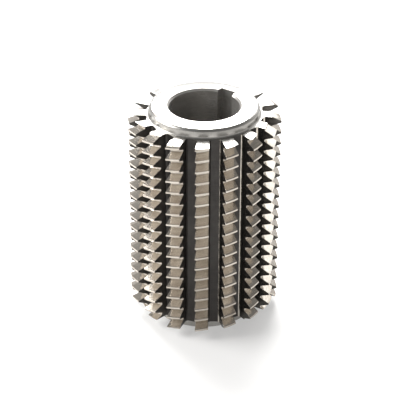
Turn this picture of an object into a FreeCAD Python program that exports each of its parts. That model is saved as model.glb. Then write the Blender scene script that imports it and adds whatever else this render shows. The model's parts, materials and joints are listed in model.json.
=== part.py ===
"""Shell-type gear hob, ground from one solid of high-speed steel.

A turned body with a locating hub at each end carries rows of relieved rack teeth.
The rows stand between straight axial gashes, and their crests follow a right-hand
multi-start thread.  A plain bore with a keyway along its whole length takes the arbor.

Frame: millimetres, the bore axis is Z, the origin is on it halfway along the hob,
and the keyway opens towards +Y.
"""

import FreeCAD, Part
import math
import os
from FreeCAD import Vector

os.makedirs("parts", exist_ok=True)

# ---------------------------------------------------------------- driving dimensions

# Turned body
overall_length = 104.0
hub_diameter = 50.0
hub_projection = 4.3
hub_edge_chamfer = 1.0

# Bore and keyway, for a 32 mm arbor
bore_diameter = 32.0
bore_chamfer = 0.9
keyway_width = 8.0
keyway_bottom_to_far_wall = 34.8

# Thread on which the crests lie
outside_diameter = 70.0
normal_module = 1.75
thread_starts = 3
pressure_angle = 22.5
tooth_depth = 4.4
crest_width = 0.80

# Gashes and lands
gash_count = 16
gash_root_diameter = 53.6
gash_angle = 16.0
rake_foot_radius = 1.3
back_foot_radius = 1.3
land_width = 6.1
relief_drop = 1.57
first_rake_from_keyway = 7.2

# Overlaps that let the solids join and trim cleanly
joining_overlap = 0.6
trimming_margin = 1.0

# ---------------------------------------------------------------- derived dimensions

tip_radius = outside_diameter / 2
root_radius = tip_radius - tooth_depth
hub_radius = hub_diameter / 2
bore_radius = bore_diameter / 2
gash_root_radius = gash_root_diameter / 2
half_length = overall_length / 2
half_toothed = half_length - hub_projection

pitch_radius = tip_radius - 1.25 * normal_module
lead_angle = math.asin(thread_starts * normal_module / (2 * pitch_radius))
axial_pitch = math.pi * normal_module / math.cos(lead_angle)
lead = thread_starts * axial_pitch
flank_slope = math.tan(math.radians(pressure_angle))
root_gap_width = axial_pitch - crest_width - 2 * tooth_depth * flank_slope

gash_step = 360.0 / gash_count
back_lean = math.tan(math.radians(gash_step - gash_angle))
keyway_bottom_radius = keyway_bottom_to_far_wall - bore_radius


# ---------------------------------------------------------------- small helpers

def local_point(rake_angle, outward, across, height=0.0):
    """Point given by its place on one land: outward along that land's rake face,
    across towards its heel, and height along the axis."""
    angle = math.radians(rake_angle)
    x = outward * math.cos(angle) - across * math.sin(angle)
    y = outward * math.sin(angle) + across * math.cos(angle)
    return Vector(x, y, height)


def closed_wire(points):
    """Closed wire of straight edges through the points."""
    return Part.makePolygon(points + [points[0]])


def rounded_wire(corners):
    """Closed wire through corners given as (point, radius); a radius above 0 is an arc."""
    starts = []
    ends = []
    edges = []
    for index, (corner, radius) in enumerate(corners):
        if radius <= 0:
            starts.append(corner)
            ends.append(corner)
            continue
        to_previous = (corners[index - 1][0] - corner).normalize()
        to_next = (corners[(index + 1) % len(corners)][0] - corner).normalize()
        half_angle = to_previous.getAngle(to_next) / 2
        setback = radius / math.tan(half_angle)
        bisector = (to_previous + to_next).normalize()
        centre = corner + bisector * (radius / math.sin(half_angle))
        start = corner + to_previous * setback
        end = corner + to_next * setback
        edges.append(Part.Arc(start, centre - bisector * radius, end).toShape())
        starts.append(start)
        ends.append(end)
    for index, end in enumerate(ends):
        following = starts[(index + 1) % len(starts)]
        edges.append(Part.makeLine(end, following))
    return Part.Wire(Part.sortEdges(edges)[0])


def rake_angles():
    """Angle about the axis of every rake face, measured from +X."""
    keyway_angle = 90.0
    first = keyway_angle + first_rake_from_keyway
    return [first + index * gash_step for index in range(gash_count)]


# ---------------------------------------------------------------- section of the lands

def heel_across(outward):
    """How far across a land its heel face lies, at one distance outward."""
    heel_crest = tip_radius - relief_drop
    return land_width - (heel_crest - outward) * back_lean


def heel_foot():
    """Outward and across place where the heel face meets the next gash's floor.

    The floor starts at the foot of the next rake face and is square to the heel face.
    """
    step = math.radians(gash_step)
    foot_x = gash_root_radius * math.cos(step)
    foot_y = gash_root_radius * math.sin(step)
    slope = math.radians(gash_step - gash_angle)
    heel_start = heel_across(0.0)
    along_floor = (foot_y - heel_start) * math.cos(slope) - foot_x * math.sin(slope)
    outward = foot_x + along_floor * math.sin(slope)
    across = foot_y - along_floor * math.cos(slope)
    return outward, across


def fluted_core():
    """Core with all lands up to the root of the teeth, over the toothed length."""
    corners = []
    foot_outward, foot_across = heel_foot()
    heel_root = root_radius - relief_drop * heel_across(root_radius) / land_width
    for angle in rake_angles():
        corners.append((local_point(angle, gash_root_radius, 0.0), rake_foot_radius))
        corners.append((local_point(angle, root_radius, 0.0), 0))
        corners.append((local_point(angle, heel_root, heel_across(heel_root)), 0))
        corners.append((local_point(angle, foot_outward, foot_across), back_foot_radius))
    section = Part.Face(rounded_wire(corners))
    section.translate(Vector(0, 0, -half_toothed))
    return section.extrude(Vector(0, 0, 2 * half_toothed))


# ---------------------------------------------------------------- rows of teeth

def comb_points(rake_angle):
    """Rack profile of one row in its rake plane, as (outward, height) points."""
    thread_height = lead * rake_angle / 360.0
    reach = half_toothed + 2 * axial_pitch
    lowest = math.ceil((-reach - thread_height) / axial_pitch)
    highest = math.floor((reach - thread_height) / axial_pitch)
    base = root_radius - joining_overlap
    half_crest = crest_width / 2
    half_root = half_crest + tooth_depth * flank_slope
    points = []
    for number in range(lowest, highest + 1):
        middle = thread_height + number * axial_pitch
        points.append((root_radius, middle - half_root))
        points.append((tip_radius, middle - half_crest))
        points.append((tip_radius, middle + half_crest))
        points.append((root_radius, middle + half_root))
    points.append((base, points[-1][1]))
    points.append((base, points[0][1]))
    return points


def land_envelope(rake_angle):
    """Space one row may fill: from its rake face to its heel, between the end faces."""
    inner = root_radius - relief_drop - 2 * joining_overlap
    outer = tip_radius + trimming_margin
    corners = [
        local_point(rake_angle, inner, 0.0, -half_toothed),
        local_point(rake_angle, outer, 0.0, -half_toothed),
        local_point(rake_angle, outer, heel_across(outer), -half_toothed),
        local_point(rake_angle, inner, heel_across(inner), -half_toothed),
    ]
    section = Part.Face(closed_wire(corners))
    return section.extrude(Vector(0, 0, 2 * half_toothed))


def tooth_row(rake_angle):
    """One row of teeth, relieved from the rake face to the heel and rising on the thread."""
    rise_per_width = lead / (2 * math.pi * pitch_radius)
    drop_per_width = relief_drop / land_width
    sweep_width = heel_across(tip_radius + trimming_margin) + 2 * trimming_margin

    def point(outward, height, across):
        return local_point(
            rake_angle,
            outward - drop_per_width * across,
            across,
            height + rise_per_width * across,
        )

    ahead = -trimming_margin
    profile = [point(outward, height, ahead) for outward, height in comb_points(rake_angle)]
    sweep = point(0.0, 0.0, sweep_width) - point(0.0, 0.0, 0.0)
    comb = Part.Face(closed_wire(profile)).extrude(sweep)
    return comb.common(land_envelope(rake_angle))


# ---------------------------------------------------------------- turned body and bore

def turned_body():
    """Solid of revolution with both hubs, which also fills the middle of the core."""
    edge_radius = hub_radius - hub_edge_chamfer
    chamfer_foot = half_length - hub_edge_chamfer
    section_points = [
        Vector(0, 0, -half_length),
        Vector(edge_radius, 0, -half_length),
        Vector(hub_radius, 0, -chamfer_foot),
        Vector(hub_radius, 0, chamfer_foot),
        Vector(edge_radius, 0, half_length),
        Vector(0, 0, half_length),
    ]
    section = Part.Face(closed_wire(section_points))
    return section.revolve(Vector(0, 0, 0), Vector(0, 0, 1), 360)


def bore_and_keyway():
    """Everything cut out of the middle: bore, its two chamfers and the keyway."""
    past_end = half_length + trimming_margin
    mouth_radius = bore_radius + bore_chamfer + trimming_margin
    chamfer_foot = half_length - bore_chamfer
    section_points = [
        Vector(0, 0, -past_end),
        Vector(mouth_radius, 0, -past_end),
        Vector(bore_radius, 0, -chamfer_foot),
        Vector(bore_radius, 0, chamfer_foot),
        Vector(mouth_radius, 0, past_end),
        Vector(0, 0, past_end),
    ]
    section = Part.Face(closed_wire(section_points))
    bore = section.revolve(Vector(0, 0, 0), Vector(0, 0, 1), 360)
    keyway = Part.makeBox(
        keyway_width,
        keyway_bottom_radius,
        2 * past_end,
        Vector(-keyway_width / 2, 0, -past_end),
    )
    return bore.fuse(keyway)


# ---------------------------------------------------------------- the hob

def make_hob():
    """The whole hob as one solid."""
    rows = [tooth_row(angle) for angle in rake_angles()]
    blank = fluted_core().fuse([turned_body()] + rows)
    hob = blank.cut(bore_and_keyway()).removeSplitter()
    return hob.Solids[0] if len(hob.Solids) == 1 else hob


hob = make_hob()
hob.exportStep("parts/hob.step")

print("solids", len(hob.Solids), "valid", hob.isValid())
print("volume cm3", round(hob.Volume / 1000, 2), "faces", len(hob.Faces))
print("axial pitch", round(axial_pitch, 4), "lead angle", round(math.degrees(lead_angle), 2))
print("root gap width", round(root_gap_width, 3))
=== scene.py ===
# %% [markdown]
# # Gear hob
# A gear hob is a cutting tool made from one solid of high-speed steel.  Its teeth
# stand in rows along the body, and every tooth is a copy of one rack profile.  The
# crests follow a screw thread, and straight gashes cut that thread into rows, so
# that each row has a sharp rake face in front and falls away behind it.
#
# This lesson builds it as one closed surface.  Almost everything on it comes from
# one idea: a flat profile is carried round the axis while it rises on the thread.

import json
import math

import bmesh
import bpy
import numpy as np
from mathutils import Euler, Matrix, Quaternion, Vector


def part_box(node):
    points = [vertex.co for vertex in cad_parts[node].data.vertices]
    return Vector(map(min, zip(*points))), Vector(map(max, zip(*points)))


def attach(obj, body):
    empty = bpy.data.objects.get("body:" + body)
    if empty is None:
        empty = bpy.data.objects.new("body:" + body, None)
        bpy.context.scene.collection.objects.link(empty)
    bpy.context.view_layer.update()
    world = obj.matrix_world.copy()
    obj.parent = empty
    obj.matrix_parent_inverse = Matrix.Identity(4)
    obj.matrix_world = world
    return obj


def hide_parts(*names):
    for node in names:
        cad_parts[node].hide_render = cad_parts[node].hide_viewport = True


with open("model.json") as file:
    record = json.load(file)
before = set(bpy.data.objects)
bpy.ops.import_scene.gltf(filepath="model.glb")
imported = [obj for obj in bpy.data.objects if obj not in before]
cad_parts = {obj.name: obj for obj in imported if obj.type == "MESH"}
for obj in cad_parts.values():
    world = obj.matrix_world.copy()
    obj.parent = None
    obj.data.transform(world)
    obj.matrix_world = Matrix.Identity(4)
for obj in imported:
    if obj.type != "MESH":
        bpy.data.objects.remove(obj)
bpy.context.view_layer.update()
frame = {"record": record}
scene = bpy.context.scene

mm = 0.001
hob_low, hob_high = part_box("hob")
half_length = hob_high[2] / mm
bore_mount = next(m for m in frame["record"]["mounts"] if m["name"] == "bore")
bore_radius = bore_mount["dims"]["r_mm"]
print("half length", round(half_length, 2), "bore radius", bore_radius)

# %% [markdown]
# ## The sizes that make this hob
# A hob is described by few numbers: its outside diameter, the module of the gear it
# cuts, the number of thread starts and the number of gashes.  All lengths here are
# millimetres and are turned to metres only when a mesh is made.  The rest of the
# shape is worked out from these values, so the whole hob changes when one changes.

# %% Driving sizes
hub_radius = 25.0
hub_projection = 4.3
hub_edge_chamfer = 1.0
hub_root_fillet = 0.9
bore_chamfer = 0.9
keyway_half_width = 4.0
keyway_bottom = 18.8

tip_radius = 35.0
normal_module = 1.75
thread_starts = 3
tooth_depth = 4.4
crest_width = 0.80
pressure_angle = math.radians(22.5)
root_fillet = 0.42
edge_rounding = 0.09

gash_count = 16
gash_angle = 16.0
gash_root = 26.8
rake_foot_fillet = 1.3
heel_foot_fillet = 1.3
land_width = 6.1
heel_drop = 1.57
first_rake = 97.2

# %% Sizes that follow
root_radius = tip_radius - tooth_depth
half_toothed = half_length - hub_projection
pitch_radius = tip_radius - 1.25 * normal_module
lead_angle = math.asin(thread_starts * normal_module / (2 * pitch_radius))
axial_pitch = math.pi * normal_module / math.cos(lead_angle)
lead = thread_starts * axial_pitch
gash_step = 360.0 / gash_count
print("axial pitch", round(axial_pitch, 3), "lead", round(lead, 2), "mm")

# %% [markdown]
# ## The rack profile
# Each tooth has a narrow flat crest, two straight flanks and a rounded root.  One
# pitch of that profile is enough, since all teeth are alike.  The profile keeps the
# direction of its surface at each point too, which later gives the thin rounded
# edge that even a freshly ground tooth has.


# %% One pitch of the rack
def rack_pitch():
    """Radius, height and surface direction along one pitch of the rack.

    From the crest's middle outward the half profile is: an arc of the edge rounding
    about a centre just inside the crest corner, a straight flank, and an arc of the
    root fillet about a centre just outside the root corner.  A point of either arc is
    its centre plus or minus the arc radius times (cos t, sin t), where t runs from 0
    at the flat to a right angle less the pressure angle at the flank.
    """
    turn = math.pi / 2 - pressure_angle
    half_crest = crest_width / 2
    corner = half_crest + tooth_depth * math.tan(pressure_angle)
    tip_turn = np.linspace(0.0, turn, 3)
    root_turn = np.linspace(turn, 0.0, 4)
    tip_middle = half_crest - edge_rounding * math.tan(turn / 2)
    root_middle = corner + root_fillet * math.tan(turn / 2)
    radius = np.concatenate([
        tip_radius - edge_rounding + edge_rounding * np.cos(tip_turn),
        root_radius + root_fillet - root_fillet * np.cos(root_turn),
        [root_radius],
    ])
    height = np.concatenate([
        tip_middle + edge_rounding * np.sin(tip_turn),
        root_middle - root_fillet * np.sin(root_turn),
        [axial_pitch / 2],
    ])
    facing = np.concatenate([tip_turn, root_turn, [0.0]])
    radius = np.concatenate([radius[:-1][::-1], radius])
    height = np.concatenate([-height[:-1][::-1], height])
    facing = np.concatenate([-facing[:-1][::-1], facing])
    return radius, height, facing


pitch_radii, pitch_heights, pitch_facing = rack_pitch()
per_pitch = len(pitch_radii)
print("profile points in one pitch", per_pitch)


# %% The whole rack, longer than the hob
def rack_column(first, last):
    """The pitch profile repeated from tooth number first to last, as flat arrays."""
    numbers = np.arange(first, last + 1)
    heights = (numbers[:, None] * axial_pitch + pitch_heights[None, :]).ravel()
    radii = np.tile(pitch_radii, len(numbers))
    facing = np.tile(pitch_facing, len(numbers))
    return radii, heights, facing


thread_rise = lead * np.array([first_rake, first_rake + 360.0]) / 360.0
lowest_tooth = math.floor((-half_toothed - thread_rise[1]) / axial_pitch) - 1
highest_tooth = math.ceil((half_toothed - thread_rise[0]) / axial_pitch) + 1
rack_radii, rack_heights, rack_facing = rack_column(lowest_tooth, highest_tooth)
print("teeth in the rack", highest_tooth - lowest_tooth + 1)

# %% [markdown]
# ## The section of one land and its gash
# Seen along the axis, each gash is a V with a radial rake face, a floor and the back
# of the land in front.  Both corners at the floor are rounded, as the gashing cutter
# leaves them.  These places are the same at every height, so they are plain points
# of the section, while the land itself follows the rack profile.


# %% Corners of the gash
def polar(points):
    """Radius and angle in degrees of section points given as (outward, across)."""
    points = np.asarray(points, float)
    return np.hypot(points[:, 0], points[:, 1]), np.degrees(np.arctan2(points[:, 1], points[:, 0]))


def heel_across(outward):
    """How far across its land the heel face lies, at one distance outward."""
    lean = math.tan(math.radians(gash_step - gash_angle))
    return land_width - (tip_radius - heel_drop - outward) * lean


def turned(point, degrees):
    """A section point turned about the axis."""
    angle = math.radians(degrees)
    c, s = math.cos(angle), math.sin(angle)
    return np.array([c * point[0] - s * point[1], s * point[0] + c * point[1]])


def rounded_corner(before, corner, after, radius, count):
    """Points of the arc that touches both sides of a corner.

    The centre lies on the line that halves the corner, at the radius divided by the
    sine of half its angle, and the arc's points turn evenly about it.
    """
    to_before = (before - corner) / np.linalg.norm(before - corner)
    to_after = (after - corner) / np.linalg.norm(after - corner)
    half = math.acos(np.clip(to_before @ to_after, -1, 1)) / 2
    middle = (to_before + to_after) / np.linalg.norm(to_before + to_after)
    centre = corner + middle * radius / math.sin(half)
    start = corner + to_before * radius / math.tan(half) - centre
    end = corner + to_after * radius / math.tan(half) - centre
    first = math.atan2(start[1], start[0])
    swing = math.atan2(start[0] * end[1] - start[1] * end[0], start @ end)
    angles = first + swing * np.linspace(0.0, 1.0, count)
    return centre + radius * np.stack([np.cos(angles), np.sin(angles)], axis=1)


rake_foot = np.array([gash_root, 0.0])
slope = math.radians(gash_step - gash_angle)
next_foot = turned(rake_foot, gash_step)
heel_direction = np.array([math.cos(slope), math.sin(slope)])
floor_direction = np.array([-math.sin(slope), math.cos(slope)])
heel_start = np.array([0.0, heel_across(0.0)])
heel_foot = heel_start + heel_direction * ((next_foot - heel_start) @ heel_direction)
foot_arc = rounded_corner(
    turned(heel_foot, -gash_step), rake_foot, np.array([tip_radius, 0.0]), rake_foot_fillet, 5
)
heel_arc = rounded_corner(
    heel_foot + 3 * heel_direction, heel_foot, next_foot, heel_foot_fillet, 4
)
print("heel foot", np.round(heel_foot, 2), "from next rake foot", round(float(np.linalg.norm(heel_foot - next_foot)), 2))

# %% [markdown]
# ## Relief
# Behind the rake face the whole profile sinks towards the axis, so that only the
# front edge touches the work.  A relieving lathe or grinder does it with a cam that
# moves the tool in at a steady rate, so the radius falls in step with the angle.

# %% Land stations
heel_line = heel_start + heel_direction * np.linspace(26.0, 36.0, 41)[:, None]
heel_line_radius, heel_line_angle = polar(heel_line)


def heel_angle(radius):
    """Angle behind the rake face at which the heel face stands, at a radius."""
    return np.interp(radius, heel_line_radius, heel_line_angle)


heel_crest_angle = math.degrees(math.atan2(land_width, tip_radius - heel_drop))
relief_at_heel = tip_radius - math.hypot(tip_radius - heel_drop, land_width)


def land_stations():
    """Radius, angle and height shift of each place that crosses a land, front to back.

    The front ring lies in the rake face, an edge rounding inside the profile.  Then
    the profile itself moves back: its radius is the rack radius less the relief, which
    grows in step with the angle.  The last ring lies in the heel face, inside again.
    """
    inward_radius = -edge_rounding * np.cos(rack_facing)
    inward_height = -edge_rounding * np.sin(rack_facing)
    heel_radius = rack_radii - relief_at_heel
    end_angle = heel_angle(heel_radius)
    edge_angle = np.degrees(edge_rounding / rack_radii)
    rings = [(rack_radii + inward_radius, 0 * rack_radii, inward_height)]
    for angle in (edge_angle, end_angle * 0.34, end_angle * 0.67, end_angle - edge_angle):
        relief = relief_at_heel * angle / heel_crest_angle
        rings.append((rack_radii - relief, angle, 0 * rack_radii))
    relief = relief_at_heel * end_angle / heel_crest_angle
    inside = rack_radii - relief + inward_radius
    rings.append((inside, heel_angle(inside), inward_height))
    return rings


def plain_stations(points):
    """The same three values for places of the section that don't follow the rack."""
    radius, angle = polar(points)
    ones = np.ones_like(rack_radii)
    return [(r * ones, a * ones, 0 * ones) for r, a in zip(radius, angle)]


stations = plain_stations(foot_arc) + land_stations() + plain_stations(heel_arc)
station_radius = np.array([s[0] for s in stations])
station_angle = np.array([s[1] for s in stations])
station_shift = np.array([s[2] for s in stations])
print("stations round one land", len(stations))

# %% [markdown]
# ## Carry the section round the thread
# The grid has one direction round the axis and one along it.  Its height is the
# rack height plus the lead times the turned angle, so the crests climb as a thread.
# After one full turn the surface meets itself three teeth higher, because the thread
# has three starts, and there the grid is joined with a shift.

# %% The toothed grid
land_turn = first_rake + gash_step * np.arange(gash_count)
turn = (land_turn[:, None, None] + station_angle[None]).reshape(-1, len(rack_radii))
radius = np.tile(station_radius, (gash_count, 1))
height = np.tile(station_shift, (gash_count, 1)) + rack_heights[None, :] + lead * turn / 360.0
around = np.radians(turn)
grid = np.stack([radius * np.cos(around), radius * np.sin(around), height], axis=-1) * mm

columns, rows = turn.shape
index = np.arange(columns * rows).reshape(columns, rows)
inner = np.stack(
    [index[:-1, :-1], index[1:, :-1], index[1:, 1:], index[:-1, 1:]], axis=-1
).reshape(-1, 4)
step = thread_starts * per_pitch
seam = np.stack(
    [index[-1, : rows - step - 1], index[0, step:-1], index[0, step + 1:], index[-1, 1: rows - step]],
    axis=-1,
)
tooth_faces = np.concatenate([inner, seam])
print("grid", columns, "by", rows, "faces", len(tooth_faces))

# %% Which finish each face has
foot_count, land_count, heel_count = len(foot_arc), 6, len(heel_arc)
per_land = foot_count + land_count + heel_count
(gash_painted_shade, rake_painted_shade, finish_flank, heel_painted_shade,
 finish_face, finish_hub, finish_bore, foot_painted_highlight) = range(8)
# Gash faces take a dark finish: painted shade for the recess of the gash.
span_finish = np.full(per_land, gash_painted_shade)
# Two faces of the rounded rake foot take a bright finish: a painted highlight.
span_finish[foot_count - 4: foot_count - 2] = foot_painted_highlight
# The rake face takes a dark finish: painted shade inside the gash.
span_finish[foot_count - 1] = rake_painted_shade
span_finish[foot_count: foot_count + land_count - 1] = finish_flank
# The back of each land takes a dark finish: painted shade inside the gash.
span_finish[foot_count + land_count - 1] = heel_painted_shade
column_finish = np.tile(span_finish, gash_count)
tooth_finish = np.concatenate([
    np.repeat(column_finish[:-1], rows - 1),
    np.full(len(seam), column_finish[-1]),
])

# %% Grain coordinates
# The first runs round the hob in millimetres, the second along the profile.  Grinding
# lines follow the first, so a pattern stretched along it looks ground.
profile_step = np.hypot(np.diff(rack_radii), np.diff(rack_heights))
along_profile = np.concatenate([[0.0], np.cumsum(profile_step)])
grain = np.stack([
    np.broadcast_to(around * tip_radius, turn.shape),
    np.broadcast_to(along_profile[None, :] + 0.35 * radius, turn.shape),
], axis=-1).reshape(-1, 2)


# %% Put a numpy surface into a mesh
def mesh_from(name, points, faces, finish, grain_points):
    """A mesh from arrays of points, quads, a finish number per face and grain places."""
    mesh = bpy.data.meshes.new(name)
    mesh.from_pydata(points.reshape(-1, 3).tolist(), [], faces.tolist())
    mesh.polygons.foreach_set("material_index", np.asarray(finish, dtype=np.int32))
    layer = mesh.uv_layers.new(name="grain")
    corners = np.empty(len(mesh.loops), dtype=np.int32)
    mesh.loops.foreach_get("vertex_index", corners)
    layer.data.foreach_set("uv", grain_points[corners].astype(np.float32).ravel())
    mesh.update()
    return mesh


toothed_mesh = mesh_from("toothed", grid, tooth_faces, tooth_finish, grain)

# %% [markdown]
# ## Hubs, bore and keyway
# The hubs and the bore are turned and ground, so they are profiles spun about the
# axis.  The keyway is the exception: it is broached through the bore, so the bore's
# outline is a circle with a square notch, and that outline is carried along the axis.


# %% A profile spun about the axis
segments = 256


def spun(profile):
    """Grid of a profile turned about Z: x = r cos a, y = r sin a, z = height.

    The grain runs round the surface first and along the profile second.
    """
    profile = np.asarray(profile, float)
    angle = np.linspace(0.0, 2 * math.pi, segments + 1)
    r, z = profile[:, :1], profile[:, 1:]
    points = np.stack([r * np.cos(angle), r * np.sin(angle), z + 0 * angle], axis=-1) * mm
    length = np.concatenate([[0.0], np.cumsum(np.hypot(*np.diff(profile, axis=0).T))])
    grain_points = np.stack([hub_radius * angle + 0 * r, length[:, None] + 0 * angle], axis=-1)
    return points, grain_points


def quads_of(shape):
    """Quads that join a grid's neighbouring points, with the faces looking outward."""
    number = np.arange(shape[0] * shape[1]).reshape(shape[:2])
    return np.stack([number[:-1, :-1], number[:-1, 1:], number[1:, 1:], number[1:, :-1]], axis=-1).reshape(-1, 4)


def hub_profile(side):
    """Radius and height from the end face of the teeth up to the hub face."""
    bend = np.linspace(math.pi, math.pi / 2, 6)
    fillet_radius = hub_radius + hub_root_fillet + hub_root_fillet * np.cos(bend)
    fillet_height = half_toothed + hub_root_fillet - hub_root_fillet * np.sin(bend)
    small = 0.12
    top = half_length
    edge = np.array([
        [hub_radius, top - hub_edge_chamfer - small],
        [hub_radius - small * 0.4, top - hub_edge_chamfer],
        [hub_radius - hub_edge_chamfer, top - small * 0.4],
        [hub_radius - hub_edge_chamfer - small, top],
    ])
    arc = np.stack([fillet_radius, fillet_height], axis=1)[::-1]
    profile = np.concatenate([arc, edge])
    profile[:, 1] *= side
    return profile


# %% The bore's outline with its keyway
def bore_outline(bore, count=180):
    """Closed outline: an arc of the bore, then down one keyway wall, across and back.

    The arc stops where its distance from the middle of the keyway is half the
    keyway's width.
    """
    stop = math.asin(keyway_half_width / bore)
    angle = math.pi / 2 + np.linspace(stop, 2 * math.pi - stop, count)
    arc = bore * np.stack([np.cos(angle), np.sin(angle)], axis=1)
    corner = 0.3
    w, b = keyway_half_width, keyway_bottom
    notch = np.array([
        [w, b - corner], [w - 0.29 * corner, b - 0.29 * corner], [w - corner, b],
        [corner - w, b], [0.29 * corner - w, b - 0.29 * corner], [-w, b - corner],
    ])
    return np.concatenate([arc, notch])


def bore_grid():
    """The outline at each height of the bore: mouth, foot of the chamfer, and inside."""
    mouth = bore_outline(bore_radius + bore_chamfer)
    inside = bore_outline(bore_radius)
    foot = half_length - bore_chamfer
    heights = np.concatenate([[half_length], np.linspace(foot, -foot, 9), [-half_length]])
    outlines = np.stack([mouth] + [inside] * 9 + [mouth])
    closed = np.concatenate([outlines, outlines[:, :1]], axis=1)
    z = np.broadcast_to(heights[:, None, None], closed.shape[:2] + (1,))
    points = np.concatenate([closed, z], axis=2)
    round_bore = np.linspace(0.0, 2 * math.pi * bore_radius, closed.shape[1])
    grain_points = np.stack([
        np.broadcast_to(round_bore, closed.shape[:2]),
        np.broadcast_to(heights[:, None], closed.shape[:2]),
    ], axis=-1)
    return points * mm, grain_points


hub_meshes = []
for side in (1, -1):
    points, grain_points = spun(hub_profile(side))
    quads = quads_of(points.shape)
    hub_meshes.append(mesh_from("hub", points, quads, np.full(len(quads), finish_hub), grain_points.reshape(-1, 2)))

points, grain_points = bore_grid()
quads = quads_of(points.shape)
bore_mesh = mesh_from("bore", points, quads, np.full(len(quads), finish_bore), grain_points.reshape(-1, 2))
print("hub faces", len(hub_meshes[0].polygons), "bore faces", len(bore_mesh.polygons))

# %% [markdown]
# ## Join them into one closed solid
# The toothed grid is longer than the hob, so two cuts square to the axis end it, as
# facing the blank does.  The flat ends between the cut outline and the hubs, and the
# hub faces between hub and bore, are filled with triangles.

# %% Cut, fill and join
body = bmesh.new()
body.from_mesh(toothed_mesh)
bmesh.ops.remove_doubles(body, verts=body.verts, dist=1e-7)
for side in (1, -1):
    everything = body.verts[:] + body.edges[:] + body.faces[:]
    bmesh.ops.bisect_plane(
        body, geom=everything, dist=1e-7,
        plane_co=(0, 0, side * half_toothed * mm), plane_no=(0, 0, side), clear_outer=True,
    )
for part in hub_meshes + [bore_mesh]:
    body.from_mesh(part)
bmesh.ops.remove_doubles(body, verts=body.verts, dist=1e-6)


def fill_flat(height, normal):
    """Fill the flat ring between the open outlines that lie at one height."""
    open_edges = [
        e for e in body.edges
        if e.is_boundary and all(abs(v.co.z / mm - height) < 1e-3 for v in e.verts)
    ]
    filled = bmesh.ops.triangle_fill(
        body, edges=open_edges, use_beauty=True, use_dissolve=False, normal=(0, 0, normal)
    )
    faces = [f for f in filled["geom"] if isinstance(f, bmesh.types.BMFace)]
    for face in faces:
        face.material_index = finish_face
    return len(faces)


for side in (1, -1):
    print("end face", fill_flat(side * half_toothed, side), "hub face", fill_flat(side * half_length, side))
bmesh.ops.recalc_face_normals(body, faces=body.faces)
open_left = sum(1 for e in body.edges if not e.is_manifold)
print("edges left open", open_left, "volume cm3", round(body.calc_volume() * 1e6, 2))

# %% The finished piece
hob_mesh = bpy.data.meshes.new("gear_hob")
body.to_mesh(hob_mesh)
body.free()
hob_mesh.shade_smooth()
hob_mesh.set_sharp_from_angle(angle=math.radians(28))
hob = bpy.data.objects.new("gear_hob", hob_mesh)
scene.collection.objects.link(hob)
for spent in [toothed_mesh, bore_mesh] + hub_meshes:
    bpy.data.meshes.remove(spent)
print("faces", len(hob_mesh.polygons))

# %% [markdown]
# ## Steel
# High-speed steel is ground everywhere here, but not by the same wheel.  What differs
# between the surfaces is how fine the lines are and which way they run.  The gashes
# carry painted shade, dark against the bright ground flanks, and the foot of each rake face a painted highlight.


# %% Colour and node helpers
def linear(hex_colour):
    """Linear colour of an sRGB hex value such as #8a8580."""
    parts = [int(hex_colour[i:i + 2], 16) / 255 for i in (1, 3, 5)]
    return [c / 12.92 if c <= 0.04045 else ((c + 0.055) / 1.055) ** 2.4 for c in parts] + [1.0]


def add(tree, kind, settings=None, **inputs):
    """Add one node, set its properties, and set or link its inputs by name or number."""
    node = tree.nodes.new(kind)
    for key, value in (settings or {}).items():
        setattr(node, key, value)
    for key, value in inputs.items():
        socket = node.inputs[int(key[1:])] if key[0] == "_" else node.inputs[key.replace("_", " ")]
        if isinstance(value, bpy.types.NodeSocket):
            tree.links.new(value, socket)
        else:
            socket.default_value = value
    return node


def ground_steel(name, light, dark, roughness, roughness_change, line, run, bump, patch=9.0, metal=1.0):
    """Ground steel with lines that are `line` mm apart and about `run` mm long.

    The grain coordinates are squeezed across the lines and stretched along them, so
    that one noise gives long scratches.  A second, wide noise clouds the surface.
    A lower `metal` makes a surface less of a mirror; the gash, rake and heel finishes use it as part of their painted
    shade.
    """
    material = bpy.data.materials.new(name)
    material.use_nodes = True
    tree = material.node_tree
    tree.nodes.clear()
    places = add(tree, "ShaderNodeUVMap", {"uv_map": "grain"})
    stretch = add(tree, "ShaderNodeVectorMath", {"operation": "MULTIPLY"}, _0=places.outputs[0], _1=(1 / run, 1 / line, 1))
    lines = add(tree, "ShaderNodeTexNoise", Vector=stretch.outputs[0], Scale=1.0, Detail=3.0, Roughness=0.65)
    where = add(tree, "ShaderNodeTexCoord")
    clouds = add(tree, "ShaderNodeTexNoise", Vector=where.outputs["Object"], Scale=1000 / patch, Detail=3.0, Roughness=0.55)
    mixed = add(tree, "ShaderNodeMath", {"operation": "MULTIPLY_ADD"}, _0=lines.outputs[0], _1=0.55, _2=0.0)
    both = add(tree, "ShaderNodeMath", {"operation": "MULTIPLY_ADD"}, _0=clouds.outputs[0], _1=0.45, _2=mixed.outputs[0])
    sharper = add(tree, "ShaderNodeMapRange", Value=both.outputs[0], From_Min=0.36, From_Max=0.64, To_Min=0.0, To_Max=1.0)
    colour = add(tree, "ShaderNodeMix", {"data_type": "RGBA"})
    colour.inputs[6].default_value = linear(dark)
    colour.inputs[7].default_value = linear(light)
    tree.links.new(sharper.outputs[0], colour.inputs[0])
    rough = add(
        tree, "ShaderNodeMapRange", Value=sharper.outputs[0],
        To_Min=roughness + roughness_change, To_Max=roughness - roughness_change,
    )
    relief = add(tree, "ShaderNodeBump", Strength=bump, Distance=0.02 * mm, Height=lines.outputs[0])
    shader = add(
        tree, "ShaderNodeBsdfPrincipled", Metallic=metal, Base_Color=colour.outputs[2],
        Roughness=rough.outputs[0], Normal=relief.outputs[0],
    )
    add(tree, "ShaderNodeOutputMaterial", Surface=shader.outputs[0])
    return material


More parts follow.
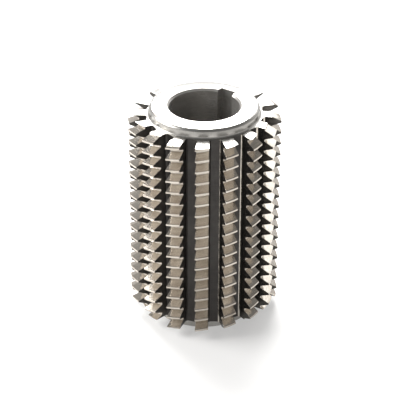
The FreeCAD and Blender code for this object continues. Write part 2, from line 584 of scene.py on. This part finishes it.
# %% The ground finishes
finishes = [
    # Gash floors are milled and hardened; their dark, brownish, dull colour is painted shade in the recess of the
    # gash.
    ground_steel("gash_floor_shade_painted_steel", "#403d3a", "#2f2c2a", 0.38, 0.06, 0.35, 9.0, 0.25, metal=0.6),
    # Rake faces are sharpened with a cup wheel: very smooth, with lines up the face.  Their dark colour is painted
    # shade inside the gash.
    ground_steel("rake_face_shade_painted_steel", "#56534f", "#423f3b", 0.24, 0.05, 0.25, 6.0, 0.15, metal=0.7),
    # Flanks and crests are relief ground: bright, with fine lines along the land.
    ground_steel("relief_ground_high_speed_steel", "#c3bdb4", "#a59c91", 0.19, 0.05, 0.18, 12.0, 0.2),
    # The backs of the lands stay as the gashing cutter left them; their dark colour is painted shade inside the gash.
    ground_steel("land_back_shade_painted_steel", "#4a4743", "#383532", 0.34, 0.06, 0.3, 5.0, 0.25, metal=0.6),
    # End faces are surface ground with a wheel that leaves arcs.
    ground_steel("face_ground_high_speed_steel", "#cfcdc9", "#b9b6b1", 0.22, 0.05, 0.3, 15.0, 0.12),
    # Hub sides are cylindrically ground, so their lines run round the hub.
    ground_steel("cylinder_ground_high_speed_steel", "#b4b2ae", "#8f8c87", 0.27, 0.06, 0.12, 14.0, 0.25),
    # The bore is honed: dark from the outside, because little light gets in.
    ground_steel("honed_high_speed_steel", "#a3a09c", "#7d7a76", 0.30, 0.05, 0.12, 8.0, 0.2, metal=0.55),
    # A painted highlight: one bright line along the rounded foot of each rake face.
    ground_steel("foot_line_highlight_painted_steel", "#d6d0c6", "#b9b2a7", 0.25, 0.05, 0.3, 20.0, 0.1),
]
for material in finishes:
    hob_mesh.materials.append(material)

# %% [markdown]
# ## Put the piece in place of the solid
# The dressed piece takes the place of the plain solid and its record finish.

# %% Hand the piece to the frame
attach(hob, "root")
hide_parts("hob")

# %% [markdown]
# ## Floor and light
# The hob stands on a plain white table.  Polished steel has hardly a colour of its
# own: it shows the room, so the panels matter more than the paint.  One panel stands
# high behind the hob, which whitens the flat faces and leaves the front rows darker.
# A second stands at the left and brightens the rows on that side.  A wide, weak one
# low behind fills the ring of the hub.  The camera, and the reflections in the metal,
# see the table partly as plain white, while it still takes the hob's soft shadow.


# %% The floor
def white_share(tree):
    """1 for rays from the camera and for mirror or glass rays, 0 for the rest."""
    path = add(tree, "ShaderNodeLightPath")
    seen = add(tree, "ShaderNodeMath", {"operation": "MAXIMUM"}, _0=path.outputs["Is Camera Ray"], _1=path.outputs["Is Glossy Ray"])
    both = add(tree, "ShaderNodeMath", {"operation": "MAXIMUM"}, _0=seen.outputs[0], _1=path.outputs["Is Transmission Ray"])
    return both.outputs[0]


floor_size = 3.0
floor_mesh = bpy.data.meshes.new("table")
corners = [(-floor_size, -floor_size), (floor_size, -floor_size), (floor_size, floor_size), (-floor_size, floor_size)]
floor_mesh.from_pydata([(x, y, -half_length * mm) for x, y in corners], [], [(0, 1, 2, 3)])
floor = bpy.data.objects.new("table", floor_mesh)
scene.collection.objects.link(floor)

paper = bpy.data.materials.new("white_table")
paper.use_nodes = True
tree = paper.node_tree
tree.nodes.clear()
plain = add(tree, "ShaderNodeBsdfPrincipled", Base_Color=linear("#f4f3f1"), Roughness=0.6)
glow = add(tree, "ShaderNodeEmission", Color=(1, 1, 1, 1), Strength=1.0)
share = add(tree, "ShaderNodeMath", {"operation": "MULTIPLY"}, _0=white_share(tree), _1=0.35)
blend = add(tree, "ShaderNodeMixShader", _0=share.outputs[0], _1=plain.outputs[0], _2=glow.outputs[0])
add(tree, "ShaderNodeOutputMaterial", Surface=blend.outputs[0])
floor_mesh.materials.append(paper)

# %% The world
horizon_level, ceiling_level = 1.0, 0.3
world = bpy.data.worlds.new("studio")
scene.world = world
world.use_nodes = True
tree = world.node_tree
tree.nodes.clear()
direction = add(tree, "ShaderNodeTexCoord")
height_of = add(tree, "ShaderNodeSeparateXYZ", _0=direction.outputs["Generated"])
strength = add(
    tree, "ShaderNodeMapRange", Value=height_of.outputs["Z"],
    From_Min=0.12, From_Max=0.6, To_Min=horizon_level, To_Max=ceiling_level,
)
sky = add(tree, "ShaderNodeBackground", Color=(1, 1, 1, 1), Strength=strength.outputs[0])
add(tree, "ShaderNodeOutputWorld", Surface=sky.outputs[0])


# %% Soft panels
def panel(name, azimuth, elevation, distance, width, height, power):
    """A flat light panel that faces the hob's middle from an azimuth and elevation."""
    data = bpy.data.lights.new(name, "AREA")
    data.shape = "RECTANGLE"
    data.size, data.size_y, data.energy = width, height, power
    lamp = bpy.data.objects.new(name, data)
    a, e = math.radians(azimuth), math.radians(elevation)
    lamp.location = (distance * math.sin(a) * math.cos(e), -distance * math.cos(a) * math.cos(e), distance * math.sin(e))
    lamp.rotation_mode = "QUATERNION"
    lamp.rotation_quaternion = lamp.location.to_track_quat("Z", "Y")
    scene.collection.objects.link(lamp)
    return lamp


camera_azimuth = 36.24
panel("key_panel", camera_azimuth + 180 + 12, 50, 1.0, 0.7, 0.6, 26.0)
panel("left_panel", camera_azimuth + 180 + 86, 34, 0.9, 0.6, 0.4, 9.0)
panel("back_panel", camera_azimuth + 180 - 20, 30, 1.2, 1.2, 0.5, 4.0)

# %% [markdown]
# ## Camera
# The view is from the front right and well above, close to a long lens, so that the
# ring of the upper hub and the rows of teeth both show.

# %% The camera
camera_distance = 652.4
camera_above_hub = 324.2
tilt = math.radians(29.794)
swing = -0.0028
roll = 0.0041
lens = bpy.data.cameras.new("camera")
lens.sensor_width = 36.0
lens.lens = 1620.4 * 36.0 / 400.0
lens.clip_start, lens.clip_end = 0.05, 20.0
camera = bpy.data.objects.new("camera", lens)
toward = math.radians(camera_azimuth)
camera.location = (
    camera_distance * math.sin(toward) * mm,
    -camera_distance * math.cos(toward) * mm,
    (half_length + camera_above_hub) * mm,
)
camera.rotation_mode = "QUATERNION"
aimed = Euler((math.pi / 2 - tilt, 0.0, toward - swing)).to_quaternion()
camera.rotation_quaternion = aimed @ Quaternion((0, 0, 1), roll)
scene.collection.objects.link(camera)
scene.camera = camera

# %% Plain colour handling
scene.view_settings.view_transform = "Standard"
